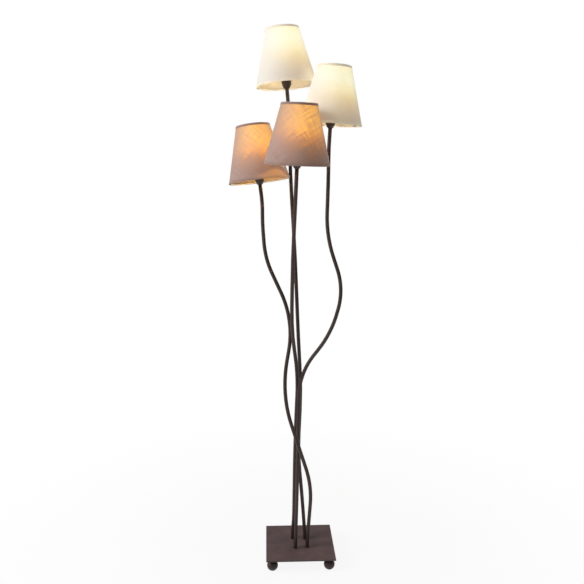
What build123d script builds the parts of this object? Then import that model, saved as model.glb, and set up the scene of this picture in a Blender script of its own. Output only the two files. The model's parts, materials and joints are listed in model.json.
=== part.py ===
from build123d import *
import math
import os

# Tree floor lamp: four bent tubular stems rise from the middle of a square steel plate on ball
# feet, and each carries a lampholder, a candle lamp and a round tapered fabric shade.
# Millimetres, +Z up. The origin is on the floor, below the middle of the whole lamp's footprint.

# ---- Base -------------------------------------------------------------------------------------
base_x, base_y = 15.3, 8.5        # middle of the plate, from the middle of the footprint
plate_side = 210.0
plate_thickness = 5.0
plate_edge = 0.6                 # broken edge round the top face
ball_diameter = 33.0
ball_inset = 19.0                # ball's axis, from the plate's edges
ball_neck_diameter = 14.0
ball_neck_height = 3.5
pad_diameter = 9.6               # rubber pad let into the underside of each ball
pad_thickness = 2.4
pad_proud = 0.9                  # stands below the ball
foot_screw_diameter = 5.0        # screw up through each ball into the plate
foot_screw_head = 8.5
foot_screw_head_height = 3.5
foot_screw_socket = 2.1           # depth of the hexagon socket
foot_screw_bite = 3.4            # length in the plate, whose top face stays whole

# ---- Stems ------------------------------------------------------------------------------------
stem_diameter = 11.0
stem_wall = 1.0
stem_stub = 22.0                 # straight end at the plate, before the first bend
collar_diameter = 15.0
collar_height = 3.0
nipple_bore = 5.8                # hollow threaded piece that passes through the plate
nipple_grip = 14.0               # length of nipple inside a tube's end
nipple_proud = 2.0               # stands below its nut
nut_across_flats = 14.0
nut_height = 4.0
lead_width = 4.6                 # flat twin flex
lead_thickness = 2.3
lead_straight = 4.0              # straight run out of the terminal block
bend_share = 0.45                # share of the shorter run that a bend may take up

# ---- Wiring cover under the plate -------------------------------------------------------------
cover_width = 84.0
cover_depth = 92.0
cover_height = 27.0
cover_shift = -7.0               # middle of the cover, forward of the plate's middle
cover_wall = 1.2
cover_corner = 6.0
cover_flange = 8.0
cover_screw_diameter = 4.0
cover_screw_head = 7.0
cover_screw_head_height = 2.4
cover_screw_bite = 3.4
cover_screw_cross = (4.9, 1.0, 1.2)  # length, width and depth of the cross recess
block_width = 34.0               # terminal block on the cover's floor
block_depth = 18.0
block_height = 12.0
block_poles = 3
block_bore = 4.0
block_screw_depth = 3.0
cord_diameter = 7.0              # mains cord that the inlet bush takes
inlet_diameter = 12.0
inlet_flange = 16.0
inlet_flange_thickness = 2.5
inlet_height = 16.0              # inlet's axis, below the plate's underside
inlet_length = 9.0

# ---- Heads, along each head's own axis, measured up from the shade's lower rim ----------------
cup_diameter = 29.0
cup_rim = 12.0
cup_foot = -10.0
cup_bowl = 3.0                   # top of the bowl, below its flared lip
cup_flare = 0.9                  # how far the lip's rim stands out past the bowl
cup_belly = (0.58, 0.45)         # middle of the bowl's curve, as shares of its reach and height
cup_wall = 1.4
cup_neck_diameter = 13.6
cup_floor = 2.0
stem_top = -4.0                  # top of the tube, inside the neck of the cup
holder_diameter = 28.0           # threaded skirt of the lampholder
holder_shoulder = 30.0           # underside of the flange that carries the shade
holder_flange_diameter = 34.0
holder_flange = 2.0
holder_top = 62.0
holder_body_diameter = 24.0
holder_cavity_diameter = 19.0
holder_hub = 6.0                 # screwed on the nipple above the cup's floor
holder_wall = 4.0                # insulating wall below the lamp's cap
holder_draft = 1.0               # step in radius below the flange and above the hub
cap_diameter = 13.9              # small screw cap of the lamp
cap_length = 25.0
contact_diameter = 4.8
contact_height = 1.2
cap_shoulder = 4.2               # height of the cap's cone over its contact
glass_diameter = 35.0
cap_collar = 4.0                 # cap's collar round the glass, above the holder
glass_length = 74.0
glass_widest = 26.6              # above the cap
glass_neck_diameter = 16.0
glass_tip_diameter = 5.0
ring_height = 7.0                # screwed ring that clamps the shade
ring_flange = 2.0
ring_diameter = 33.0
ring_flange_diameter = 37.0

# ---- Shades -----------------------------------------------------------------------------------
shade_bottom_diameter = 182.0
shade_top_diameter = 99.2
shade_height = 162.6
panel_thickness = 1.0
hem_height = 6.5
hem_thickness = 0.6
wire = 2.6                       # square wire of the rings inside the hems
fitter_plate = 1.2               # pressed spider that hangs the shade on its holder
fitter_diameter = 37.0
arm_width = 5.0
arm_tab = 3.0                    # length of arm that lies flat on the fitter and the ring
arm_count = 3
arm_turn = 90.0                  # first arm points to the back

# ---- Fits -------------------------------------------------------------------------------------
press_fit = 0.02                 # radial, pieces that stay together
running_fit = 0.05               # radial, screwed pieces that turn
slack = 0.2                      # between faces of pieces that turn on each other

# ---- Where the heads stand --------------------------------------------------------------------
# Seat: middle of the shade's lower rim, from the middle of the plate and up from its top face.
# Lean: the head's tilt in degrees, to the right and to the back.
shade_gap = 6.0                  # least air between two shades
HEADS = {
    "right": {"seat": (86.5, 7.5, 1280.0), "lean": (3.3, -1.6)},
    "left": {"seat": (-117.5, 40.0, 1120.5), "lean": (-6.8, 3.6)},
    "top": {"seat": (-36.0, 0.0, 1400.0), "lean": (-4.9, 1.2)},
    "front": {"seat": (-14.5, 0.0, 1163.5), "lean": (2.2, -3.5)},
}
# Corners that each stem's bends are laid in, from the middle of the plate and up from its top
# face. The first is the foot.
BENDS = {
    "front": [(-21.5, 22, 0), (-17.5, 19, 70), (-14, 4, 350), (-6, -8, 545), (-26.5, -34, 688),
              (-24.5, -66, 899)],
    "left": [(22.5, -32, 0), (25.5, -37, 74), (34.5, -46, 208), (-57.5, -44, 497),
             (-18, -4, 712), (-102.5, 6, 896), (-110, 27, 1000)],
    "right": [(-14.5, -37, 0), (-9, -28, 200), (-2.5, -24, 555), (91, -26, 676),
              (128, -19, 807), (76, -7, 965), (81.5, 4, 1111)],
    "top": [(17, 18, 0), (8.5, 20, 144), (-4.5, 19, 289), (4.5, 14, 497), (-4.5, 15, 658),
            (-12.5, 37, 892), (-26, 75, 1140)],
}
HEAD_RUN = {"front": 72.0, "left": 62.0, "right": 62.0, "top": 78.0}  # straight below the head

# ---- Worked out from the above ----------------------------------------------------------------
plate_top = ball_diameter + ball_neck_height + plate_thickness
plate_underside = plate_top - plate_thickness
stem_radius = stem_diameter / 2
stem_bore = stem_radius - stem_wall
nipple_radius = stem_bore - press_fit
shade_taper = (shade_bottom_diameter - shade_top_diameter) / 2 / shade_height
ring_seat = holder_shoulder + holder_flange + slack + fitter_plate + slack
cap_seat = holder_top - cap_length + contact_height + slack
wire_end = holder_top - cap_length - holder_wall  # roof of the holder's cavity
screw_seat = pad_thickness + slack + foot_screw_head_height  # roof of a foot's counterbore


def ball_places():
    reach = plate_side / 2 - ball_inset
    return {
        "front_left": (base_x - reach, base_y - reach),
        "front_right": (base_x + reach, base_y - reach),
        "back_left": (base_x - reach, base_y + reach),
        "back_right": (base_x + reach, base_y + reach),
    }


def foot_places():
    return {name: (base_x + bends[0][0], base_y + bends[0][1]) for name, bends in BENDS.items()}


def lean_direction(lean):
    return Vector(math.tan(math.radians(lean[0])), math.tan(math.radians(lean[1])), 1).normalized()


def clear_depth(seat, lean, other, other_lean):
    """Depth between two shades' axes that leaves shade_gap where the higher rim passes the lower shade."""
    low, high = sorted([(seat, lean), (other, other_lean)], key=lambda item: item[0][2])
    rise = high[0][2] - low[0][2]
    reach = shade_bottom_diameter - shade_taper * rise + shade_gap
    low_x = low[0][0] + rise * math.tan(math.radians(low[1][0]))
    low_drift = rise * math.tan(math.radians(low[1][1]))
    return math.sqrt(max(reach**2 - (high[0][0] - low_x) ** 2, 0)), low_drift


def place_heads():
    """The front shade stands just clear in front of the other two, and the top one behind the right."""
    right, left = HEADS["right"], HEADS["left"]
    front, top = HEADS["front"], HEADS["top"]
    to_right, drift_right = clear_depth(front["seat"], front["lean"], right["seat"], right["lean"])
    to_left, drift_left = clear_depth(front["seat"], front["lean"], left["seat"], left["lean"])
    front_y = min(right["seat"][1] - to_right - drift_right, left["seat"][1] - to_left + drift_left)
    to_top, drift_top = clear_depth(top["seat"], top["lean"], right["seat"], right["lean"])
    top_y = right["seat"][1] + to_top + drift_top
    front["seat"] = (front["seat"][0], front_y, front["seat"][2])
    top["seat"] = (top["seat"][0], top_y, top["seat"][2])


def head_frame(name):
    """Plane at the middle of a shade's lower rim, its normal up the head's axis."""
    x, y, z = HEADS[name]["seat"]
    up = lean_direction(HEADS[name]["lean"])
    return Plane(origin=(base_x + x, base_y + y, plate_top + z), x_dir=Vector(0, 1, 0).cross(up), z_dir=up)


def section(frame, turn=0.0):
    """The half plane through a head's axis: local x is the radius and local y the height."""
    across = frame.x_dir.rotate(Axis((0, 0, 0), frame.z_dir), turn)
    return Plane(origin=frame.origin, x_dir=across, z_dir=across.cross(frame.z_dir))


def spindle(frame):
    return Axis(frame.origin, frame.z_dir)


def stem_corners(name):
    """Corners of a stem's centre line, from the plate's top face to the neck of its cup."""
    corners = [Vector(base_x + x, base_y + y, plate_top + z) for x, y, z in BENDS[name]]
    frame = head_frame(name)
    corners.insert(1, corners[0] + Vector(0, 0, stem_stub))
    corners.append(frame.origin + frame.z_dir * (stem_top - HEAD_RUN[name]))
    corners.append(frame.origin + frame.z_dir * stem_top)
    return corners


def bend_radii(corners):
    """As large a bend at each corner as its two runs allow."""
    radii = []
    for before, corner, after in zip(corners, corners[1:], corners[2:]):
        run_in, run_out = corner - before, after - corner
        turn = math.radians(run_in.get_angle(run_out))
        radii.append(bend_share * min(run_in.length, run_out.length) / math.tan(turn / 2))
    return radii


def finish(builder, label):
    builder.part.label = label
    export_step(builder.part, f"parts/{label}.step")


# ---- Base pieces ------------------------------------------------------------------------------
def base_plate():
    with BuildPart() as plate:
        with BuildSketch(Plane.XY.offset(plate_underside)):
            with Locations((base_x, base_y)):
                Rectangle(plate_side, plate_side)
        extrude(amount=plate_thickness)
        chamfer(plate.faces().sort_by(Axis.Z)[-1].edges(), plate_edge)
        with BuildSketch(Plane.XY.offset(plate_underside)):
            with Locations(*foot_places().values()):
                Circle(nipple_radius + press_fit)
        extrude(amount=plate_thickness, mode=Mode.SUBTRACT)
        with BuildSketch(Plane.XY.offset(plate_underside)):
            with Locations(*ball_places().values()):
                Circle(foot_screw_diameter / 2 + press_fit)
        extrude(amount=foot_screw_bite + slack, mode=Mode.SUBTRACT)
        with BuildSketch(Plane.XY.offset(plate_underside)):
            with Locations(*cover_screw_places()):
                Circle(cover_screw_diameter / 2 + press_fit)
        extrude(amount=cover_screw_bite + slack, mode=Mode.SUBTRACT)
    finish(plate, "base_plate")


def cover_screw_places():
    reach = cover_width / 2 + cover_flange / 2
    middle_y = base_y + cover_shift
    inset = cover_depth / 2 - cover_corner
    return [(base_x + side * reach, middle_y + end * inset) for side in (-1, 1) for end in (-1, 1)]


def ball_foot(name, place):
    middle = Plane((*place, ball_diameter / 2))
    ball_flat = pad_proud  # the ball's underside is cut level just above the floor
    with BuildPart() as ball:
        with BuildSketch(Plane((*place, 0), x_dir=(1, 0, 0), z_dir=(0, -1, 0))):
            with BuildLine():
                edge = math.sqrt((ball_diameter / 2) ** 2 - (ball_diameter / 2 - ball_flat) ** 2)
                neck = ball_neck_diameter / 2
                shoulder = ball_diameter / 2 + math.sqrt((ball_diameter / 2) ** 2 - neck**2)
                Line((0, ball_flat), (edge, ball_flat))
                ThreePointArc((edge, ball_flat), (ball_diameter / 2, ball_diameter / 2), (neck, shoulder))
                Polyline((neck, shoulder), (neck, plate_underside), (0, plate_underside), (0, ball_flat))
            make_face()
        revolve(axis=Axis(middle.origin, middle.z_dir))
        with BuildSketch(Plane((*place, ball_flat))):
            Circle(pad_diameter / 2 + press_fit)
        extrude(amount=pad_thickness - pad_proud, mode=Mode.SUBTRACT)
        with BuildSketch(Plane((*place, ball_flat))):
            Circle(foot_screw_head / 2 + slack)
        extrude(amount=screw_seat - ball_flat, mode=Mode.SUBTRACT)
        with BuildSketch(Plane((*place, ball_flat))):
            Circle(foot_screw_diameter / 2 + slack)
        extrude(amount=plate_underside, mode=Mode.SUBTRACT)
    finish(ball, f"foot_ball_{name}")


def foot_pads():
    with BuildPart() as pads:
        with BuildSketch(Plane.XY):
            with Locations(*ball_places().values()):
                Circle(pad_diameter / 2)
        extrude(amount=pad_thickness)
    finish(pads, "foot_pads")


def foot_screws():
    head_bottom = screw_seat - foot_screw_head_height
    with BuildPart() as screws:
        with BuildSketch(Plane.XY.offset(head_bottom)):
            with Locations(*ball_places().values()):
                Circle(foot_screw_head / 2)
        extrude(amount=foot_screw_head_height)
        with BuildSketch(Plane.XY.offset(head_bottom)):
            with Locations(*ball_places().values()):
                Circle(foot_screw_diameter / 2)
        extrude(amount=plate_underside + foot_screw_bite - head_bottom)
        with BuildSketch(Plane.XY.offset(head_bottom)):
            with Locations(*ball_places().values()):
                RegularPolygon(foot_screw_diameter / 2, 6)
        extrude(amount=foot_screw_socket, mode=Mode.SUBTRACT)
    finish(screws, "foot_screws")


# ---- Stems and what holds them ----------------------------------------------------------------
def stem(name):
    corners = stem_corners(name)
    with BuildPart() as tube:
        with BuildLine() as path:
            FilletPolyline(*corners, radius=bend_radii(corners))
        with BuildSketch(Plane(origin=path.line @ 0, z_dir=path.line % 0)):
            Circle(stem_radius)
            Circle(stem_bore, mode=Mode.SUBTRACT)
        sweep()
    length = path.wires()[0].length
    ideal = math.pi * (stem_radius**2 - stem_bore**2) * length
    print(f"stem_{name}: {length:.0f} long, swept volume {tube.part.volume / ideal:.5f} of section x length")
    finish(tube, f"stem_{name}")


def lead(name):
    """Flat twin flex from the terminal block, up through the nipple and the tube to the lampholder."""
    corners = stem_corners(name)
    foot, stub = corners[0], corners[1]
    block_middle = base_y + cover_shift
    side = math.copysign(1, foot.Y - block_middle)
    level = plate_underside - cover_height + cover_wall + block_height / 2
    terminal_x = base_x + math.copysign(block_width / block_poles, foot.X - base_x)
    terminal = Vector(terminal_x, block_middle + side * block_depth / 2, level)
    clear = terminal + Vector(0, side * lead_straight, 0)
    below_foot = Vector(foot.X, foot.Y, level)
    frame = head_frame(name)
    top = frame.origin + frame.z_dir * wire_end
    entry = [terminal, clear, below_foot, stub]
    with BuildPart() as flex:
        with BuildLine() as path:
            FilletPolyline(*entry[:3], *corners[1:-1], top, radius=bend_radii(entry) + bend_radii(corners))
        with BuildSketch(Plane(origin=path.line @ 0, z_dir=path.line % 0)):
            Rectangle(lead_thickness, lead_width)
        sweep()
    finish(flex, f"lead_{name}")


def stem_collars():
    with BuildPart() as collars:
        with BuildSketch(Plane.XY.offset(plate_top)):
            with Locations(*foot_places().values()):
                Circle(collar_diameter / 2)
                Circle(stem_radius + press_fit, mode=Mode.SUBTRACT)
        extrude(amount=collar_height)
    finish(collars, "stem_collars")


def stem_nipples():
    with BuildPart() as nipples:
        with BuildSketch(Plane.XY.offset(plate_underside - nut_height - nipple_proud)):
            with Locations(*foot_places().values()):
                Circle(nipple_radius)
                Circle(nipple_bore / 2, mode=Mode.SUBTRACT)
        extrude(amount=nipple_proud + nut_height + plate_thickness + nipple_grip)
    finish(nipples, "stem_nipples")


def stem_nuts():
    with BuildPart() as nuts:
        with BuildSketch(Plane.XY.offset(plate_underside)):
            with Locations(*foot_places().values()):
                RegularPolygon(nut_across_flats / 2, 6, major_radius=False)
                Circle(nipple_radius + press_fit, mode=Mode.SUBTRACT)
        extrude(amount=-nut_height)
    finish(nuts, "stem_nuts")


# ---- Wiring cover -----------------------------------------------------------------------------
def wiring_cover():
    middle = (base_x, base_y + cover_shift)
    back = middle[1] + cover_depth / 2
    with BuildPart() as cover:
        with BuildSketch(Plane.XY.offset(plate_underside)):
            with Locations(middle):
                RectangleRounded(cover_width, cover_depth, cover_corner)
        extrude(amount=-cover_height)
        with BuildSketch(Plane.XY.offset(plate_underside)):
            with Locations(middle):
                Rectangle(cover_width + 2 * cover_flange, cover_depth)
        extrude(amount=-cover_wall)
        with BuildSketch(Plane.XY.offset(plate_underside)):
            with Locations(middle):
                RectangleRounded(cover_width - 2 * cover_wall, cover_depth - 2 * cover_wall,
                                 cover_corner - cover_wall)
        extrude(amount=-(cover_height - cover_wall), mode=Mode.SUBTRACT)
        with BuildSketch(Plane.XY.offset(plate_underside)):
            with Locations(*cover_screw_places()):
                Circle(cover_screw_diameter / 2 + slack)
        extrude(amount=-cover_wall, mode=Mode.SUBTRACT)
        with BuildSketch(Plane((base_x, back, plate_underside - inlet_height), z_dir=(0, 1, 0))):
            Circle(inlet_diameter / 2 + press_fit)
        extrude(amount=-2 * cover_wall, mode=Mode.SUBTRACT)
    finish(cover, "wiring_cover")


def cover_screws():
    cross_length, cross_width, cross_depth = cover_screw_cross
    with BuildPart() as screws:
        with BuildSketch(Plane.XY.offset(plate_underside - cover_wall)):
            with Locations(*cover_screw_places()):
                Circle(cover_screw_head / 2)
        extrude(amount=-cover_screw_head_height)
        with BuildSketch(Plane.XY.offset(plate_underside - cover_wall)):
            with Locations(*cover_screw_places()):
                Circle(cover_screw_diameter / 2)
        extrude(amount=cover_wall + cover_screw_bite)
        with BuildSketch(Plane.XY.offset(plate_underside - cover_wall - cover_screw_head_height)):
            with Locations(*cover_screw_places()):
                Rectangle(cross_length, cross_width)
                Rectangle(cross_width, cross_length)
        extrude(amount=cross_depth, mode=Mode.SUBTRACT)
    finish(screws, "cover_screws")


def inlet_bush():
    back = base_y + cover_shift + cover_depth / 2
    mouth = Plane((base_x, back, plate_underside - inlet_height), z_dir=(0, 1, 0))
    with BuildPart() as bush:
        with BuildSketch(mouth):
            Circle(inlet_flange / 2)
        extrude(amount=inlet_flange_thickness)
        with BuildSketch(mouth):
            Circle(inlet_diameter / 2)
        extrude(amount=-(inlet_length - inlet_flange_thickness))
        with BuildSketch(mouth.offset(inlet_flange_thickness)):
            Circle(cord_diameter / 2)
        extrude(amount=-inlet_length, mode=Mode.SUBTRACT)
    finish(bush, "inlet_bush")


def terminal_block():
    floor = plate_underside - cover_height + cover_wall
    front = base_y + cover_shift - block_depth / 2
    spacing = block_width / block_poles
    with BuildPart() as block:
        with BuildSketch(Plane.XY.offset(floor)):
            with Locations((base_x, base_y + cover_shift)):
                Rectangle(block_width, block_depth)
        extrude(amount=block_height)
        with BuildSketch(Plane((base_x, front, floor + block_height / 2), x_dir=(1, 0, 0), z_dir=(0, -1, 0))):
            with GridLocations(spacing, 1, block_poles, 1):
                Circle(block_bore / 2)
        extrude(amount=-block_depth, mode=Mode.SUBTRACT)
        with BuildSketch(Plane((base_x, base_y + cover_shift, floor + block_height))):
            with GridLocations(spacing, block_depth / 2, block_poles, 2):
                Circle(block_bore / 2)
        extrude(amount=-block_screw_depth, mode=Mode.SUBTRACT)
    finish(block, "terminal_block")


# ---- Head pieces ------------------------------------------------------------------------------
def socket_cup(name, frame):
    """Spun cup: a neck that grips the tube, and a bowl that hides the holder's lower end."""
    lip = cup_diameter / 2
    bowl = lip - cup_flare
    neck = cup_neck_diameter / 2
    belly_out, belly_up = cup_belly
    with BuildPart() as cup:
        with BuildSketch(section(frame)):
            with BuildLine():
                Line((0, cup_foot), (neck, cup_foot))
                belly = (neck + (bowl - neck) * belly_out, cup_foot + (cup_bowl - cup_foot) * belly_up)
                ThreePointArc((neck, cup_foot), belly, (bowl, cup_bowl))
                Polyline((bowl, cup_bowl), (lip, cup_rim), (lip - cup_wall, cup_rim), (bowl - cup_wall, cup_bowl),
                         (neck, stem_top + cup_floor), (0, stem_top + cup_floor), (0, cup_foot))
            make_face()
        revolve(axis=spindle(frame))
        with BuildSketch(frame.offset(cup_foot)):
            Circle(stem_radius + press_fit)
        extrude(amount=stem_top + press_fit - cup_foot, mode=Mode.SUBTRACT)
        with BuildSketch(frame.offset(cup_foot)):
            Circle(nipple_radius + press_fit)
        extrude(amount=cup_rim - cup_foot, mode=Mode.SUBTRACT)
    finish(cup, f"socket_cup_{name}")


def head_nipples():
    """Hollow threaded pieces that join each tube to its cup and lampholder."""
    with BuildPart() as nipples:
        for name in HEADS:
            frame = head_frame(name)
            with BuildSketch(frame.offset(stem_top - nipple_grip)):
                Circle(nipple_radius)
                Circle(nipple_bore / 2, mode=Mode.SUBTRACT)
            extrude(amount=nipple_grip + cup_floor + holder_hub)
    finish(nipples, "head_nipples")


def lampholder(name, frame):
    """Moulded holder: hub and cavity below, a flange that carries the shade, and a long skirt."""
    base = stem_top + cup_floor
    hub = cup_neck_diameter / 2 - slack
    body = holder_body_diameter / 2
    skirt = holder_diameter / 2
    with BuildPart() as holder:
        with BuildSketch(section(frame)):
            Polygon(
                (0, base), (hub, base), (body, base + body - hub + holder_draft), (body, cup_rim + press_fit),
                (cup_diameter / 2, cup_rim + press_fit), (skirt - holder_draft, holder_shoulder),
                (holder_flange_diameter / 2, holder_shoulder),
                (holder_flange_diameter / 2, holder_shoulder + holder_flange),
                (skirt, holder_shoulder + holder_flange), (skirt, holder_top), (0, holder_top),
                align=None,
            )
        revolve(axis=spindle(frame))
        with BuildSketch(frame.offset(base)):
            Circle(nipple_radius + press_fit)
        extrude(amount=holder_hub, mode=Mode.SUBTRACT)
        with BuildSketch(frame.offset(base + holder_hub)):
            Circle(holder_cavity_diameter / 2)
        extrude(amount=wire_end - base - holder_hub, mode=Mode.SUBTRACT)
        with BuildSketch(frame.offset(holder_top - cap_length)):
            Circle(cap_diameter / 2 + running_fit)
        extrude(amount=cap_length, mode=Mode.SUBTRACT)
        with BuildSketch(frame.offset(holder_top - cap_length)):
            Circle(contact_diameter / 2)
        extrude(amount=contact_height)
    finish(holder, f"lampholder_{name}")


def clamp_ring(name, frame):
    inner = holder_diameter / 2 + running_fit
    with BuildPart() as ring:
        with BuildSketch(section(frame)):
            Polygon(
                (inner, ring_seat), (ring_flange_diameter / 2, ring_seat),
                (ring_flange_diameter / 2, ring_seat + ring_flange), (ring_diameter / 2, ring_seat + ring_flange),
                (ring_diameter / 2, ring_seat + ring_height), (inner, ring_seat + ring_height),
                align=None,
            )
        revolve(axis=spindle(frame))
    finish(ring, f"clamp_ring_{name}")


def lamp_cap(name, frame):
    radius = cap_diameter / 2
    with BuildPart() as cap:
        with BuildSketch(section(frame)):
            Polygon(
                (0, cap_seat), (contact_diameter / 2, cap_seat), (radius, cap_seat + cap_shoulder),
                (radius, holder_top + slack), (glass_neck_diameter / 2, holder_top + cap_collar / 2),
                (glass_neck_diameter / 2, holder_top + cap_collar), (0, holder_top + cap_collar),
                align=None,
            )
        revolve(axis=spindle(frame))
    finish(cap, f"lamp_cap_{name}")


def lamp_glass(name, frame):
    """Candle-shaped envelope: an arc swells out of the neck and a flatter one closes to the tip."""
    foot = holder_top + cap_collar
    widest = (glass_diameter / 2, foot + glass_widest)
    with BuildPart() as glass:
        with BuildSketch(section(frame)):
            with BuildLine():
                TangentArc(widest, (glass_neck_diameter / 2, foot), tangent=(0, -1))
                TangentArc(widest, (glass_tip_diameter / 2, foot + glass_length), tangent=(0, 1))
                Polyline((glass_tip_diameter / 2, foot + glass_length), (0, foot + glass_length), (0, foot),
                         (glass_neck_diameter / 2, foot))
            make_face()
        revolve(axis=spindle(frame))
    finish(glass, f"lamp_glass_{name}")


# ---- Shades -----------------------------------------------------------------------------------
def panel_radius(height):
    """Outside of the fabric panel, inside its hems."""
    return shade_bottom_diameter / 2 - hem_thickness - shade_taper * height


def lining_radius(height):
    return panel_radius(height) - panel_thickness


def shade(name, frame):
    """Fabric on a stiff lining, a plain truncated cone between the folds of its hems."""
    low, high = hem_thickness, shade_height - hem_thickness
    with BuildPart() as cone:
        with BuildSketch(section(frame)):
            Polygon(
                (panel_radius(low), low), (panel_radius(high), high),
                (lining_radius(high), high), (lining_radius(low), low),
                align=None,
            )
        revolve(axis=spindle(frame))
    finish(cone, f"shade_{name}")


def shade_hems(name, frame):
    """Tape folded over each edge of the panel and under the wire ring inside it."""
    with BuildPart() as hems:
        for edge, inward in ((0.0, 1), (shade_height, -1)):
            fold = edge + inward * hem_thickness
            band = edge + inward * hem_height
            lip = lining_radius(edge + inward * (hem_thickness + wire)) - wire
            with BuildSketch(section(frame)):
                Polygon(
                    (panel_radius(edge) + hem_thickness, edge), (panel_radius(band) + hem_thickness, band),
                    (panel_radius(band), band), (panel_radius(fold), fold), (lip, fold), (lip, edge),
                    align=None,
                )
            revolve(axis=spindle(frame))
    finish(hems, f"shade_hems_{name}")


def shade_rings(name, frame):
    """Square wire rings that keep both ends of the shade round, seated in the folds of the hems."""
    with BuildPart() as rings:
        for edge, inward in ((0.0, 1), (shade_height, -1)):
            seat = edge + inward * hem_thickness
            outer = lining_radius(max(seat, seat + inward * wire)) - press_fit
            with BuildSketch(frame.offset(seat)):
                Circle(outer)
                Circle(outer - wire, mode=Mode.SUBTRACT)
            extrude(amount=inward * wire)
    finish(rings, f"shade_rings_{name}")


def shade_spider(name, frame):
    """Pressed fitter whose arms fall from the holder's flange to the top of the lower ring."""
    fitter_low = holder_shoulder + holder_flange + slack
    fitter_edge = fitter_diameter / 2
    foot_low = hem_thickness + wire
    arm_end = lining_radius(foot_low) - wire / 2
    with BuildPart() as spider:
        with BuildSketch(frame.offset(fitter_low)):
            Circle(fitter_edge)
            Circle(holder_diameter / 2 + slack, mode=Mode.SUBTRACT)
        extrude(amount=fitter_plate)
        for index in range(arm_count):
            with BuildSketch(section(frame, arm_turn + index * 360 / arm_count)):
                with BuildLine():
                    top_edge = Polyline(
                        (fitter_edge - arm_tab, fitter_low + fitter_plate),
                        (fitter_edge + arm_tab, fitter_low + fitter_plate),
                        (arm_end - 2 * arm_tab, foot_low + fitter_plate),
                        (arm_end, foot_low + fitter_plate),
                    )
                    Polyline(
                        top_edge @ 0, (fitter_edge - arm_tab, fitter_low), (fitter_edge + arm_tab, fitter_low),
                        (arm_end - 2 * arm_tab, foot_low), (arm_end, foot_low), top_edge @ 1,
                    )
                make_face()
            extrude(amount=arm_width / 2, both=True)
    finish(spider, f"shade_spider_{name}")


os.makedirs("parts", exist_ok=True)
place_heads()

base_plate()
for corner, place in ball_places().items():
    ball_foot(corner, place)
foot_pads()
foot_screws()
stem_collars()
stem_nipples()
stem_nuts()
wiring_cover()
cover_screws()
inlet_bush()
terminal_block()
head_nipples()
for head in HEADS:
    head_plane = head_frame(head)
    stem(head)
    lead(head)
    socket_cup(head, head_plane)
    lampholder(head, head_plane)
    clamp_ring(head, head_plane)
    lamp_cap(head, head_plane)
    lamp_glass(head, head_plane)
    shade(head, head_plane)
    shade_hems(head, head_plane)
    shade_rings(head, head_plane)
    shade_spider(head, head_plane)
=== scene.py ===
import json
import math

import bmesh
import bpy
from mathutils import Matrix, Quaternion, Vector


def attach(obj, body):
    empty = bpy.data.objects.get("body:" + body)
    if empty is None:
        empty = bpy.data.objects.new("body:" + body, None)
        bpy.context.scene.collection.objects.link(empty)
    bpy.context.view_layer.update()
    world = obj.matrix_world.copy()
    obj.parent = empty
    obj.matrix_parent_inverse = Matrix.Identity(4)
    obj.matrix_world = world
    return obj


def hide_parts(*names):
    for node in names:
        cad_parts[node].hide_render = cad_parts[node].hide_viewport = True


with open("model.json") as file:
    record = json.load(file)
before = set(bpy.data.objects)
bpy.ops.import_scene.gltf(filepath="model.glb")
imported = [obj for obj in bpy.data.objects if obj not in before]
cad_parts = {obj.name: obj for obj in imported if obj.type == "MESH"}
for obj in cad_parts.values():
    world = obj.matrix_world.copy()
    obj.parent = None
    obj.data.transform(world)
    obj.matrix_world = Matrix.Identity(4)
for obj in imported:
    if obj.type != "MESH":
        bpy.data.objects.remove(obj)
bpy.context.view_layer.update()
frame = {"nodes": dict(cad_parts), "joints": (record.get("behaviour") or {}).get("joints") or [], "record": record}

MM = 0.001

# ---- Camera, at the photograph's viewing angle ------------------------------------------------
PHOTO_SIDE = 584                                # pixels
FOCAL_PIXELS = 673.7
SENSOR = 36.0
CAMERA_PLACE = Vector((-83.7, -1959.5, 1154.8)) * MM
CAMERA_YAW = math.radians(2.188)                # towards +X
CAMERA_PITCH = math.radians(9.125)              # downwards
NEAREST, FARTHEST = 0.01, 100                   # metres


def make_camera():
    data = bpy.data.cameras.new("camera")
    data.sensor_width = SENSOR
    data.lens = SENSOR * FOCAL_PIXELS / PHOTO_SIDE
    data.clip_start, data.clip_end = NEAREST, FARTHEST
    camera = bpy.data.objects.new("camera", data)
    camera.location = CAMERA_PLACE
    camera.rotation_euler = (math.pi / 2 - CAMERA_PITCH, 0, -CAMERA_YAW)
    bpy.context.scene.collection.objects.link(camera)
    bpy.context.scene.camera = camera


make_camera()

# ---- Sizes of the lamp, as its frame holds them -----------------------------------------------
CLOTH = {"front": "taupe", "left": "taupe", "top": "cream", "right": "cream"}
HEADS = tuple(CLOTH)

SHADE_LOW, SHADE_HIGH = 91.0 * MM, 49.6 * MM    # outer radius over the hems, below and above
SHADE_HEIGHT = 162.6 * MM
TAPER = (SHADE_LOW - SHADE_HIGH) / SHADE_HEIGHT
PANEL_THICKNESS = 1.0 * MM
HEM_HEIGHT = 6.5 * MM
HEM_THICKNESS = 0.6 * MM
RING_WIRE = 2.6 * MM
LAMP_CENTRE = 100.0 * MM                        # up the head's axis from the shade's lower rim
STEM_RADIUS = 5.5 * MM
STEM_WALL = 1.0 * MM
STEM_STUB = 22.0 * MM                           # upright first run, from the plate's top face
STEM_TOP = -4.0 * MM                            # up the head's axis from the shade's lower rim
BEND_SHARE = 0.45                               # share of its shorter run that a bend takes up
PLATE_TOP = 41.5 * MM
PLATE_MIDDLE = Vector((15.3, 8.5, 0)) * MM

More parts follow.
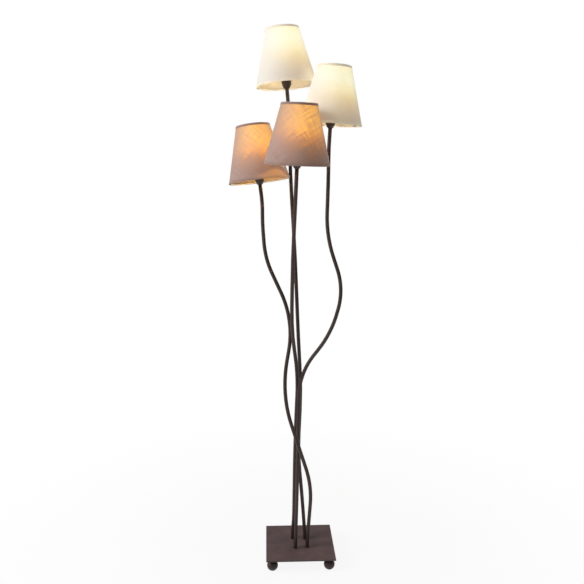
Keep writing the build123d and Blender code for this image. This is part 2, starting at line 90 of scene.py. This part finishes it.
# Foot and corners of each stem's line, from the middle of the plate's top face, in mm.
BENDS = {
    "front": [(-21.5, 22, 0), (-17.5, 19, 70), (-14, 4, 350), (-6, -8, 545), (-26.5, -34, 688),
              (-24.5, -66, 899)],
    "left": [(22.5, -32, 0), (25.5, -37, 74), (34.5, -46, 208), (-57.5, -44, 497),
             (-18, -4, 712), (-102.5, 6, 896), (-110, 27, 1000)],
    "right": [(-14.5, -37, 0), (-9, -28, 200), (-2.5, -24, 555), (91, -26, 676),
              (128, -19, 807), (76, -7, 965), (81.5, 4, 1111)],
    "top": [(17, 18, 0), (8.5, 20, 144), (-4.5, 19, 289), (4.5, 14, 497), (-4.5, 15, 658),
            (-12.5, 37, 892), (-26, 75, 1140)],
}
HEAD_RUN = {"front": 72.0, "left": 62.0, "right": 62.0, "top": 78.0}  # last run, up the head's axis, in mm


def head_axis(head):
    """(middle of the shade's lower rim, direction up the head), from the joint that turns the shade."""
    joint = next(j for j in frame["joints"] if j["name"] == f"shade_turn_{head}")
    return Vector(joint["pos_m"]), Vector(joint["axis"]).normalized()


def head_matrix(head):
    """Head's own frame: Z up its axis, and Y to the back."""
    seat, up = head_axis(head)
    across = Vector((0, 1, 0)).cross(up).normalized()
    return Matrix.Translation(seat) @ Matrix((across, up.cross(across), up)).transposed().to_4x4()


# ---- Node helpers -----------------------------------------------------------------------------
class Nodes:
    """Short calls for a node tree."""

    def __init__(self, tree):
        self.tree = tree

    def add(self, kind, **settings):
        node = self.tree.nodes.new(kind)
        for key, value in settings.items():
            setattr(node, key, value)
        return node

    def feed(self, socket, value):
        if isinstance(value, bpy.types.NodeSocket):
            self.tree.links.new(value, socket)
        else:
            socket.default_value = value

    def feed_all(self, node, values):
        for key, value in values.items():
            self.feed(node.inputs[key], value)

    def math(self, operation, *values):
        node = self.add("ShaderNodeMath", operation=operation)
        self.feed_all(node, dict(enumerate(values)))
        return node.outputs[0]

    def weigh(self, first, second, share):
        """Sum of two values, in which the second one counts for share and the first for the rest."""
        return self.math("ADD", self.math("MULTIPLY", first, 1 - share), self.math("MULTIPLY", second, share))

    def vector(self, operation, *values):
        node = self.add("ShaderNodeVectorMath", operation=operation)
        self.feed_all(node, dict(enumerate(values)))
        return node.outputs["Value"] if operation in ("LENGTH", "DOT_PRODUCT") else node.outputs[0]

    def split(self, vector):
        """The vector's X, Y and Z."""
        node = self.add("ShaderNodeSeparateXYZ")
        self.feed(node.inputs[0], vector)
        return node.outputs["X"], node.outputs["Y"], node.outputs["Z"]

    def scaled(self, vector, scale, moved=(0, 0, 0)):
        node = self.add("ShaderNodeMapping")
        self.feed_all(node, {"Vector": vector, "Location": moved, "Scale": scale})
        return node.outputs[0]

    def noise(self, vector, scale, detail=2.0, roughness=0.5, distortion=0.0):
        """Soft noise, with about scale spots per metre."""
        node = self.add("ShaderNodeTexNoise")
        self.feed_all(node, {"Vector": vector, "Scale": scale, "Detail": detail,
                             "Roughness": roughness, "Distortion": distortion})
        return node.outputs["Fac"]

    def range(self, value, low, high, to_low=0.0, to_high=1.0, smooth=False):
        node = self.add("ShaderNodeMapRange")
        if smooth:
            node.interpolation_type = "SMOOTHSTEP"
        self.feed_all(node, {"Value": value, "From Min": low, "From Max": high,
                             "To Min": to_low, "To Max": to_high})
        return node.outputs[0]

    def mix(self, factor, first, second, blend="MIX"):
        node = self.add("ShaderNodeMix", data_type="RGBA", blend_type=blend)
        self.feed(node.inputs["Factor"], factor)
        for key, colour in (("A", first), ("B", second)):
            self.feed(node.inputs[key], (*colour, 1) if isinstance(colour, tuple) else colour)
        return node.outputs["Result"]

    def ramp(self, value, stops):
        node = self.add("ShaderNodeValToRGB")
        self.feed(node.inputs[0], value)
        elements = node.color_ramp.elements
        while len(elements) < len(stops):
            elements.new(0.5)
        for element, (place, colour) in zip(elements, stops):
            element.position = place
            element.color = (*colour, 1)
        return node.outputs[0]

    def bump(self, height, distance, strength, below=None):
        """Normal of a relief, on top of another one where that is given."""
        node = self.add("ShaderNodeBump")
        self.feed_all(node, {"Strength": strength, "Distance": distance, "Height": height})
        if below is not None:
            self.feed(node.inputs["Normal"], below)
        return node.outputs[0]


class Surface(Nodes):
    """A new material's node tree. place is the point on the piece."""

    def __init__(self, name):
        self.material = bpy.data.materials.new(name)
        self.material.use_nodes = True
        super().__init__(self.material.node_tree)
        self.shader = self.tree.nodes["Principled BSDF"]
        self.place = self.add("ShaderNodeTexCoord").outputs["Object"]

    def finish(self, **sockets):
        """Feed the shader's sockets, whose names have _ for each space here, and give the material."""
        self.feed_all(self.shader, {key.replace("_", " "): value for key, value in sockets.items()})
        return self.material


def srgb(red, green, blue):
    """Linear colour of an 8-bit screen colour."""
    return tuple(c / 12.92 if c <= 0.04045 else ((c + 0.055) / 1.055) ** 2.4
                 for c in (red / 255, green / 255, blue / 255))


def dimmed(colour, share):
    return tuple(c * share for c in colour)


# ---- Paint, plating, plastic and glass --------------------------------------------------------
PAINTED_SIDE_SHADE = 0.6                                 # how dark the painted shade on the sides is, beside the top face
SIDE_SHADE_DROP = 0.2 * MM                            # how far below the top face the painted shade starts
SIDE_SHADE_FADE = 0.4 * MM                            # height over which it then comes in


def bronze_paint(name, colour, roughness, top=None):
    """Dark powder coat: a fine grain, slightly rubbed to a lighter brown. Below a top face, if given, sides get
    painted shade.
    """
    n = Surface(name)
    cloud = n.noise(n.place, 22, 3)
    grain = n.noise(n.place, 1600, 2)
    patch = n.noise(n.place, 7, 2, distortion=0.6)
    dark = dimmed(colour, 0.82)
    rubbed = (colour[0] * 1.18 + 0.004, colour[1] * 1.1 + 0.002, colour[2] * 1.08 + 0.002)
    paint = n.mix(n.range(cloud, 0.3, 0.7), dark, rubbed)
    # Painted shade: below the top face the sides are painted darker.
    if top is not None:
        side_shade_top = top - SIDE_SHADE_DROP
        height = n.split(n.place)[2]
        paint = n.mix(n.range(height, side_shade_top - SIDE_SHADE_FADE, side_shade_top), dimmed(dark, PAINTED_SIDE_SHADE), paint)
    return n.finish(Base_Color=paint, Metallic=0.25,
                    Roughness=n.range(patch, 0.3, 0.7, roughness - 0.06, roughness + 0.08),
                    Normal=n.bump(grain, 0.06 * MM, 0.3, n.bump(cloud, 0.4 * MM, 0.25)))


def plated(name, colour, roughness):
    """Plated metal with faint brushing."""
    n = Surface(name)
    brushed = n.noise(n.scaled(n.place, (1, 1, 12)), 300, 3)
    return n.finish(Base_Color=n.mix(brushed, dimmed(colour, 0.85), colour), Metallic=1.0,
                    Roughness=n.range(brushed, 0.2, 0.8, roughness - 0.07, roughness + 0.1),
                    Normal=n.bump(brushed, 0.05 * MM, 0.3))


def moulded(name, colour, roughness):
    """Plastic, rubber or enamel with a fine grain."""
    n = Surface(name)
    grain = n.noise(n.place, 900, 2)
    cloud = n.noise(n.place, 40, 2)
    return n.finish(Base_Color=n.mix(cloud, dimmed(colour, 0.94), colour),
                    Roughness=n.range(cloud, 0.3, 0.7, roughness - 0.05, roughness + 0.05),
                    Normal=n.bump(grain, 0.06 * MM, 0.4))


def opal(name):
    """Lit opal glass of a lamp."""
    n = Surface(name)
    cloud = n.noise(n.place, 70, 2)
    return n.finish(Base_Color=n.mix(cloud, (0.86, 0.82, 0.74), (0.95, 0.92, 0.86)),
                    Roughness=0.28, Coat_Weight=0.5,
                    Emission_Color=(1.0, 0.86, 0.62, 1), Emission_Strength=1.6)


# ---- Linen, lining and tape -------------------------------------------------------------------
THREAD_PITCH = 1.1 * MM
SLUBS_ACROSS, SLUBS_ALONG = 300, 15             # slubs of the linen, per metre of cloth
SLUB_SPREAD = (0.42, 0.58)                      # noise that stands for a thin and for a thick thread
SLUB_TINT = 0.75                                # share of the cloth's tone that the slubs give
SLUB_REACH = 0.13                               # how much higher the glow starts behind a thick thread
GLOW_DRIFT = 0.015                              # how unevenly it starts, as a share of the height

# Painted light through the linen, by share of the shade's height.
TAUPE_GLOW = ((0.0, (0.01, 0.003, 0.0)), (0.1, (0.05, 0.016, 0.0)), (0.2, (0.11, 0.036, 0.0)),
              (0.3, (0.21, 0.07, 0.0)), (0.4, (0.38, 0.125, 0.003)), (0.5, (0.62, 0.235, 0.012)),
              (0.6, (0.77, 0.33, 0.03)), (0.76, (0.81, 0.375, 0.04)), (1.0, (0.79, 0.37, 0.04)))
CREAM_GLOW = ((0.0, (0.14, 0.08, 0.02)), (0.12, (0.2, 0.12, 0.03)), (0.28, (0.33, 0.205, 0.06)),
              (0.42, (0.48, 0.34, 0.1)), (0.58, (0.66, 0.54, 0.24)), (0.76, (0.68, 0.64, 0.4)),
              (1.0, (0.68, 0.6, 0.3)))

# How the painted glow varies round a shade, brightest on a fixed side: its mean, one wave, two waves
# and the sideways part, all counted from a line that stands GLOW_TURN degrees to the right of the front.
GLOW_ROUND = (0.56, 0.12, 0.32, 0.04)
GLOW_TURN = {"front": 14, "left": 14, "top": 32, "right": 28}

# Each linen's light and dark threads, its glow, and how deeply its slubs shade that.
LINEN = {
    "taupe": (srgb(192, 164, 156), srgb(157, 131, 122), TAUPE_GLOW, 0.38),
    "cream": (srgb(243, 239, 232), srgb(231, 226, 216), CREAM_GLOW, 0.1),
}
WEFT_SHARE = {"front": 0.6, "left": 0.5, "top": 0.5, "right": 0.5}  # of the slubs, beside the warp's


def weave(n, cloth, weft_share):
    """(threads' height, slubs) of a plain linen weave. cloth is the flat cut of the fabric, in metres."""
    sines = [n.math("SINE", n.math("MULTIPLY", axis, 2 * math.pi / THREAD_PITCH))
             for axis in n.split(cloth)[:2]]
    threads = n.range(n.math("MULTIPLY", *sines), -1, 1)
    warp = n.noise(n.scaled(cloth, (SLUBS_ACROSS, SLUBS_ALONG, 1)), 1, 4, 0.62)
    weft = n.noise(n.scaled(cloth, (SLUBS_ALONG, SLUBS_ACROSS, 1), (3, 7, 0)), 1, 4, 0.62)
    return threads, n.weigh(warp, weft, weft_share)


def glow_round(n, offset, up, turn):
    """How strongly a shade's painted glow shows round its axis: most towards a fixed side, near the front."""
    front = Quaternion(up, turn) @ Vector((0, -1, 0))
    front = (front - up * front.dot(up)).normalized()
    flat = n.vector("NORMALIZE", n.vector("SUBTRACT", offset, n.vector("PROJECT", offset, tuple(up))))
    along = n.vector("DOT_PRODUCT", flat, tuple(front))
    aside = n.vector("DOT_PRODUCT", flat, tuple(up.cross(front)))
    level, once, twice, sideways = GLOW_ROUND
    waves = n.math("MULTIPLY", n.math("MULTIPLY", along, along), 2 * twice)
    waves = n.math("ADD", waves, n.math("MULTIPLY", along, once))
    waves = n.math("ADD", waves, n.math("MULTIPLY", aside, sideways))
    return n.math("ADD", waves, level - twice)


def shade_linen(head):
    """Linen over a lit lamp, with a painted glow that follows height and turn about the head's axis."""
    light_thread, dark_thread, glow_stops, slub_depth = LINEN[CLOTH[head]]
    n = Surface(f"{CLOTH[head]}_linen_{head}")
    cloth = n.add("ShaderNodeUVMap", uv_map="cloth").outputs[0]
    threads, slubs = weave(n, cloth, WEFT_SHARE[head])
    tone = n.range(n.weigh(threads, slubs, SLUB_TINT), *SLUB_SPREAD)
    thin = n.range(slubs, *SLUB_SPREAD, 1.0, -1.0)
    seat, up = head_axis(head)
    offset = n.vector("SUBTRACT", n.place, tuple(seat))
    share = n.range(n.vector("DOT_PRODUCT", offset, tuple(up)), 0.0, SHADE_HEIGHT)
    drift = n.range(n.noise(n.place, 26, 2), 0, 1, -GLOW_DRIFT, GLOW_DRIFT)
    reach = n.math("ADD", share, drift)
    glow = n.ramp(n.math("MULTIPLY_ADD", thin, SLUB_REACH * slub_depth, reach), glow_stops)
    shadow = n.math("MULTIPLY_ADD", thin, slub_depth, 1.0)
    strength = n.math("MULTIPLY", shadow, glow_round(n, offset, up, math.radians(GLOW_TURN[head])))
    # The glow is painted light, given as emission, and the thick threads paint shade into it.
    return n.finish(Base_Color=n.mix(tone, dark_thread, light_thread), Roughness=0.9,
                    Sheen_Weight=0.08, Sheen_Roughness=0.5, Specular_IOR_Level=0.2,
                    Emission_Color=n.mix(1.0, glow, strength, "MULTIPLY"), Emission_Strength=1.0,
                    Normal=n.bump(threads, 0.2 * MM, 0.35, n.bump(slubs, 0.5 * MM, 0.4)))


def lining(name, colour):
    """Smooth lining inside a shade, lit by the real lamp within."""
    n = Surface(name)
    cloud = n.noise(n.place, 60, 3)
    return n.finish(Base_Color=n.mix(n.range(cloud, 0.3, 0.7), dimmed(colour, 0.93), colour),
                    Roughness=0.75, Specular_IOR_Level=0.3, Normal=n.bump(cloud, 0.2 * MM, 0.2))


def hem_tape(name, colour, glow):
    """Folded tape: a fine rib along its length. A little of the lamp's light through it is painted in as a glow.
    """
    n = Surface(name)
    rib = n.noise(n.scaled(n.place, (1, 1, 6)), 420, 2)
    cloud = n.noise(n.place, 90, 2)
    return n.finish(Base_Color=n.mix(n.range(cloud, 0.3, 0.7), dimmed(colour, 0.86), colour),
                    Roughness=0.88, Sheen_Weight=0.15, Emission_Color=(*glow, 1), Emission_Strength=1.0,
                    Normal=n.bump(rib, 0.12 * MM, 0.3))


# ---- Finishes of the frame's pieces -----------------------------------------------------------
MATERIALS = {
    # The plate's sides get painted shade below its top face.
    "steel_dark": bronze_paint("bronze_plate", srgb(112, 94, 93), 0.48, PLATE_TOP),
    "ball_dark": bronze_paint("bronze_feet", srgb(58, 46, 45), 0.5),
    "stem_dark": bronze_paint("bronze_stems", srgb(62, 46, 41), 0.5),
    "rubber": moulded("rubber_pad", (0.03, 0.03, 0.03), 0.8),
    "zinc": plated("zinc_plate", (0.62, 0.62, 0.6), 0.3),
    "black_plastic": moulded("black_moulding", (0.03, 0.03, 0.03), 0.5),
    "white_plastic": moulded("white_moulding", (0.8, 0.79, 0.76), 0.45),
    "holder_plastic": moulded("holder_moulding", (0.76, 0.73, 0.66), 0.42),
    "flex": moulded("flex_sheath", (0.1, 0.07, 0.06), 0.55),
    "cap_metal": plated("lamp_cap", (0.78, 0.76, 0.72), 0.22),
    "opal_glass": opal("opal_glass"),
    "wire_white": moulded("white_enamel", (0.78, 0.76, 0.71), 0.35),
    # The last value of each tape is its painted glow of the lamp's light.
    "hem_taupe": hem_tape("taupe_tape", srgb(161, 136, 128), (0.03, 0.01, 0.0)),
    "hem_cream": hem_tape("cream_tape", srgb(236, 230, 220), (0.19, 0.15, 0.08)),
}
LINING = {
    "taupe": lining("taupe_lining", (0.56, 0.41, 0.3)),
    "cream": lining("cream_lining", (0.6, 0.57, 0.5)),
}
CUP_PAINT = bronze_paint("bronze_cups", srgb(48, 37, 30), 0.4)
COLLAR_PLATING = plated("bronze_collars", srgb(165, 146, 136), 0.3)


def finish_of(name, slot):
    """Material of one of the frame's pieces, or None for the linen, which new pieces replace."""
    if name.startswith("socket_cup"):
        return CUP_PAINT
    if name == "stem_collars":
        return COLLAR_PLATING
    return MATERIALS.get(slot)


def dress_frame():
    slots = {part["node"]: part["material_slot"] for part in frame["record"]["subparts"]}
    for name, node in frame["nodes"].items():
        material = finish_of(name, slots[name])
        if material:
            node.data.materials.clear()
            node.data.materials.append(material)


dress_frame()

# ---- Mesh helpers -----------------------------------------------------------------------------
ROUND = 144                                     # facets round a shade
FULL_TURN = 2 * math.pi


def new_piece(name, mesh, body, replaced=()):
    piece = bpy.data.objects.new(name, mesh)
    bpy.context.scene.collection.objects.link(piece)
    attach(piece, body)
    if replaced:
        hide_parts(*replaced)
    return piece


def cloth_point(radius, turn, grain):
    """Where a point of the cone lies on the flat cut of the fabric. turn is from the front."""
    slope = math.atan(TAPER)
    reach = radius / math.sin(slope)
    angle = turn * math.sin(slope)
    return Vector((reach * math.sin(angle), -reach * math.cos(angle))) @ Matrix.Rotation(grain, 2)


def revolve(profile, matrix, materials, start=-math.pi, sweep=FULL_TURN, count=ROUND, grain=0.0):
    """Closed ring, or a strip of one, of a closed profile of (radius, height, material).

    Its UVs are the flat cut of the cone.
    """
    whole = sweep == FULL_TURN
    columns = count if whole else count + 1
    mesh = bmesh.new()
    layer = mesh.loops.layers.uv.new("cloth")
    rows = []
    for column in range(columns):
        turn = start + sweep * column / count
        around = Vector((math.sin(turn), -math.cos(turn), 0))
        rows.append([mesh.verts.new(matrix @ (around * r + Vector((0, 0, h)))) for r, h, _ in profile])
    for column in range(count):
        first, second = rows[column], rows[(column + 1) % columns]
        turns = (start + sweep * column / count, start + sweep * (column + 1) / count)
        for i, (radius, _, material) in enumerate(profile):
            j = (i + 1) % len(profile)
            after = profile[j][0]
            face = mesh.faces.new((first[i], second[i], second[j], first[j]))
            face.material_index = material
            face.smooth = True
            corners = ((radius, turns[0]), (radius, turns[1]), (after, turns[1]), (after, turns[0]))
            for loop, (r, t) in zip(face.loops, corners):
                loop[layer].uv = cloth_point(r, t, grain)
    if not whole:
        for row in (rows[0], rows[-1]):
            mesh.faces.new(row)
    bmesh.ops.recalc_face_normals(mesh, faces=mesh.faces)
    data = bpy.data.meshes.new("ring")
    mesh.to_mesh(data)
    mesh.free()
    for material in materials:
        data.materials.append(material)
    return data


# ---- Shades -----------------------------------------------------------------------------------
GRAIN = {"front": 34, "left": 45, "top": 40, "right": 30}  # turn of the cloth's threads, in degrees
ROWS = 20                                       # rows of facets up a shade
SEAM_WIDTH = 9.0 * MM
SEAM_THICKNESS = 0.45 * MM
SEAM_BITE = 0.2 * MM                            # how far the seam sinks into the panel
SEAM_FACETS = 6                                 # across its width
SEAM_COVER = 0.9 * HEM_HEIGHT                   # how much of each hem's height the seam leaves free
HEM_ROWS = (0.25, 0.5, 0.75, 0.95)              # rows of facets, as shares of the hem's height
FOLD_INSET = 0.3 * HEM_THICKNESS                # rounding where the tape folds over the edge
FOLD_RISE = 0.35 * HEM_THICKNESS
TIP_INSET = 0.5 * HEM_THICKNESS                 # rounding at the outer end of the tape
TIP_UNDERCUT = 0.2 * HEM_THICKNESS


def panel_radius(height):
    return SHADE_LOW - HEM_THICKNESS - TAPER * height


def hem_radius(height):
    return panel_radius(height) + HEM_THICKNESS


def wall_profile(low, high, proud, sunk, inner=0):
    """Outline of a wall along the cone, up its outside and down its inside. inner is its inner material."""
    heights = [low + (high - low) * i / ROWS for i in range(ROWS + 1)]
    outside = [(panel_radius(h) + proud, h, 0) for h in heights]
    inside = [(panel_radius(h) - sunk, h, inner) for h in reversed(heights)]
    outside[-1] = (*outside[-1][:2], inner)
    return outside + inside


def hem_profile(edge, inward):
    """Outline of a hem: a band outside, rounded over the edge, and back inside under the wire ring."""
    band = edge + inward * HEM_HEIGHT
    fold = edge + inward * HEM_THICKNESS
    inside = panel_radius(fold + inward * RING_WIRE) - PANEL_THICKNESS - RING_WIRE
    profile = [(hem_radius(edge) - FOLD_INSET, edge),
               (hem_radius(edge + inward * FOLD_INSET), edge + inward * FOLD_RISE)]
    for share in HEM_ROWS:
        height = edge + inward * share * HEM_HEIGHT
        profile.append((hem_radius(height), height))
    profile += [(hem_radius(band) - TIP_INSET, band), (panel_radius(band), band - inward * TIP_UNDERCUT),
                (panel_radius(fold), fold), (inside, fold), (inside, edge)]
    return [(radius, height, 0) for radius, height in profile]


def make_shade(head):
    tone, body, matrix = CLOTH[head], f"shade_body_{head}", head_matrix(head)
    linen, grain = shade_linen(head), math.radians(GRAIN[head])
    profile = wall_profile(HEM_THICKNESS, SHADE_HEIGHT - HEM_THICKNESS, 0.0, PANEL_THICKNESS, inner=1)
    mesh = revolve(profile, matrix, [linen, LINING[tone]], grain=grain)
    new_piece(f"linen_shade_{head}", mesh, body, [f"shade_{head}"])

    turn = SEAM_WIDTH / SHADE_LOW
    profile = wall_profile(SEAM_COVER, SHADE_HEIGHT - SEAM_COVER, SEAM_THICKNESS, SEAM_BITE)
    mesh = revolve(profile, matrix, [linen], math.pi - turn / 2, turn, SEAM_FACETS, grain)
    new_piece(f"linen_seam_{head}", mesh, body)

    tapes = bmesh.new()
    for edge, inward in ((0.0, 1), (SHADE_HEIGHT, -1)):
        mesh = revolve(hem_profile(edge, inward), matrix, [MATERIALS[f"hem_{tone}"]])
        tapes.from_mesh(mesh)
    tapes.to_mesh(mesh)
    tapes.free()
    new_piece(f"hem_tapes_{head}", mesh, body, [f"shade_hems_{head}"])


for head_name in HEADS:
    make_shade(head_name)

# ---- Stems ------------------------------------------------------------------------------------
ARC_STEP = math.radians(3)
STEM_FACETS = 40                                # round a stem


def stem_corners(head):
    foot = PLATE_MIDDLE + Vector((0, 0, PLATE_TOP))
    corners = [foot + Vector(corner) * MM for corner in BENDS[head]]
    corners.insert(1, corners[0] + Vector((0, 0, STEM_STUB)))
    seat, up = head_axis(head)
    corners.append(seat + up * (STEM_TOP - HEAD_RUN[head] * MM))
    corners.append(seat + up * STEM_TOP)
    return corners


def bent_line(corners):
    """Points of a tube's centre line: straight runs joined by tangent arcs."""
    line = [corners[0]]
    for before, corner, after in zip(corners, corners[1:], corners[2:]):
        run_in, run_out = corner - before, after - corner
        turn = run_in.angle(run_out)
        tangent = BEND_SHARE * min(run_in.length, run_out.length)
        radius = tangent / math.tan(turn / 2)
        start = corner - run_in.normalized() * tangent
        axis = run_in.cross(run_out).normalized()
        centre = start + axis.cross(run_in).normalized() * radius
        steps = max(2, math.ceil(turn / ARC_STEP))
        for step in range(steps + 1):
            line.append(centre + Quaternion(axis, turn * step / steps) @ (start - centre))
    return line + [corners[-1]]


def tube_tree():
    """Geometry nodes that sweep a round tube along a curve."""
    tree = bpy.data.node_groups.new("tube_along_path", "GeometryNodeTree")
    for name, kind in (("Path", "Geometry"), ("Radius", "Float"), ("Facets", "Int"), ("Paint", "Material")):
        tree.interface.new_socket(name, in_out="INPUT", socket_type=f"NodeSocket{kind}")
    tree.interface.new_socket("Tube", in_out="OUTPUT", socket_type="NodeSocketGeometry")
    add, link = tree.nodes.new, tree.links.new
    given, out = add("NodeGroupInput"), add("NodeGroupOutput")
    circle, sweep = add("GeometryNodeCurvePrimitiveCircle"), add("GeometryNodeCurveToMesh")
    smooth, realize = add("GeometryNodeSetShadeSmooth"), add("GeometryNodeRealizeInstances")
    paint = add("GeometryNodeSetMaterial")
    link(given.outputs["Radius"], circle.inputs["Radius"])
    link(given.outputs["Facets"], circle.inputs["Resolution"])
    link(given.outputs["Path"], sweep.inputs["Curve"])
    link(circle.outputs["Curve"], sweep.inputs["Profile Curve"])
    link(sweep.outputs["Mesh"], smooth.inputs["Geometry"])
    link(smooth.outputs["Geometry"], realize.inputs["Geometry"])
    link(realize.outputs["Geometry"], paint.inputs["Geometry"])
    link(given.outputs["Paint"], paint.inputs["Material"])
    link(paint.outputs["Geometry"], out.inputs["Tube"])
    return tree


def made_by(tree, carrier, inputs):
    """The plain mesh that a geometry tree makes on a carrier, which is then removed."""
    modifier = carrier.modifiers.new("made", "NODES")
    modifier.node_group = tree
    keys = {item.name: item.identifier for item in tree.interface.items_tree if item.in_out == "INPUT"}
    for name, value in inputs.items():
        modifier[keys[name]] = value
    bpy.context.scene.collection.objects.link(carrier)
    evaluated = carrier.evaluated_get(bpy.context.evaluated_depsgraph_get())
    mesh = bpy.data.meshes.new_from_object(evaluated)
    carrier.modifiers.remove(modifier)
    bpy.data.objects.remove(carrier)
    return mesh


def path_curve(points):
    data = bpy.data.curves.new("path", "CURVE")
    data.dimensions = "3D"
    spline = data.splines.new("POLY")
    spline.points.add(len(points) - 1)
    for point, place in zip(spline.points, points):
        point.co = (*place, 1)
    return bpy.data.objects.new("path", data)


def make_stem(head, tree):
    path = path_curve(bent_line(stem_corners(head)))
    sizes = {"Radius": STEM_RADIUS, "Facets": STEM_FACETS, "Paint": MATERIALS["stem_dark"]}
    mesh = made_by(tree, path, sizes)
    stem = new_piece(f"bent_stem_{head}", mesh, "stand", [f"stem_{head}"])
    wall = stem.modifiers.new("wall", "SOLIDIFY")
    wall.thickness, wall.offset = STEM_WALL, -1


tube = tube_tree()
for head_name in HEADS:
    make_stem(head_name, tube)

# ---- Lamps, floor and light -------------------------------------------------------------------
LAMP_COLOUR = {"taupe": (1.0, 0.66, 0.14), "cream": (1.0, 0.8, 0.52)}
LAMP_POWER = 0.75                               # watts
LAMP_RADIUS = 12.0 * MM
SOFT_LIGHTS = {                                 # place, what it faces, width and watts
    "key": ((-3.0, -0.85, 2.3), (0, 0, 0.9), 2.0, 79),
    "rim": ((2.2, 1.6, 1.8), (0, 0, 1.0), 1.5, 12),
    "top": ((0.2, -0.4, 3.4), (0, 0, 0.6), 1.4, 10),
}
WORLD_LEVEL = 0.21                              # on the object, where the camera sees a full 1
FLOOR_HALF = 9.0                                # metres
FLOOR_COLOUR = (0.92, 0.92, 0.92, 1)
SHADOW_NEAR, SHADOW_FAR = 0.2, 1.4              # metres out, between which the lamp's shadow fades
SHADOW_WHITE = 0.9                              # how white the floor shows within the nearer one


def lamp_light(head):
    """A real lamp in its glass, which throws no shadow. Neither of them shows in gloss."""
    seat, up = head_axis(head)
    data = bpy.data.lights.new(f"lamp_{head}", "POINT")
    data.energy = LAMP_POWER
    data.color = LAMP_COLOUR[CLOTH[head]]
    data.shadow_soft_size = LAMP_RADIUS
    light = bpy.data.objects.new(f"lamp_{head}", data)
    light.location = seat + up * LAMP_CENTRE
    light.visible_glossy = False
    bpy.context.scene.collection.objects.link(light)
    glass = frame["nodes"][f"lamp_glass_{head}"]
    glass.visible_shadow = glass.visible_glossy = False


def soft_light(name, place, target, size, power):
    data = bpy.data.lights.new(name, "AREA")
    data.shape = "DISK"
    data.size = size
    data.energy = power
    light = bpy.data.objects.new(name, data)
    light.location = place
    light.rotation_euler = (Vector(target) - Vector(place)).to_track_quat("-Z", "Y").to_euler()
    light.visible_camera = False
    bpy.context.scene.collection.objects.link(light)


def pale_floor():
    """White to the camera and in reflections, with the lamp's faint shadow."""
    mesh = bpy.data.meshes.new("floor")
    low, high = -FLOOR_HALF, FLOOR_HALF
    mesh.from_pydata([(low, low, 0), (high, low, 0), (high, high, 0), (low, high, 0)], [], [(0, 1, 2, 3)])
    floor = bpy.data.objects.new("floor", mesh)
    bpy.context.scene.collection.objects.link(floor)
    n = Surface("floor_white")
    rays = n.add("ShaderNodeLightPath")
    seen = n.math("MAXIMUM", rays.outputs["Is Camera Ray"], rays.outputs["Is Glossy Ray"])
    seen = n.math("MAXIMUM", seen, rays.outputs["Is Transmission Ray"])
    away = n.vector("LENGTH", n.place)
    far = n.range(away, SHADOW_NEAR, SHADOW_FAR, SHADOW_WHITE, 1.0, smooth=True)
    white = n.add("ShaderNodeEmission")
    matt = n.add("ShaderNodeBsdfDiffuse")
    matt.inputs["Color"].default_value = FLOOR_COLOUR
    blend = n.add("ShaderNodeMixShader")
    n.feed_all(blend, {0: n.math("MULTIPLY", seen, far), 1: matt.outputs[0], 2: white.outputs[0]})
    n.tree.nodes.remove(n.shader)
    n.feed(n.tree.nodes["Material Output"].inputs["Surface"], blend.outputs[0])
    mesh.materials.append(n.material)


def white_world():
    """White to the camera and through glass, and a plain daylight level on the object."""
    world = bpy.data.worlds.new("studio")
    bpy.context.scene.world = world
    world.use_nodes = True
    n = Nodes(world.node_tree)
    rays = n.add("ShaderNodeLightPath")
    seen = n.math("MAXIMUM", rays.outputs["Is Camera Ray"], rays.outputs["Is Transmission Ray"])
    strength = n.range(seen, 0.0, 1.0, WORLD_LEVEL, 1.0)
    n.feed_all(n.tree.nodes["Background"], {"Color": (1, 1, 1, 1), "Strength": strength})


for head_name in HEADS:
    lamp_light(head_name)
for light_name, facts in SOFT_LIGHTS.items():
    soft_light(light_name, *facts)
pale_floor()
white_world()
bpy.context.scene.view_settings.view_transform = "Standard"
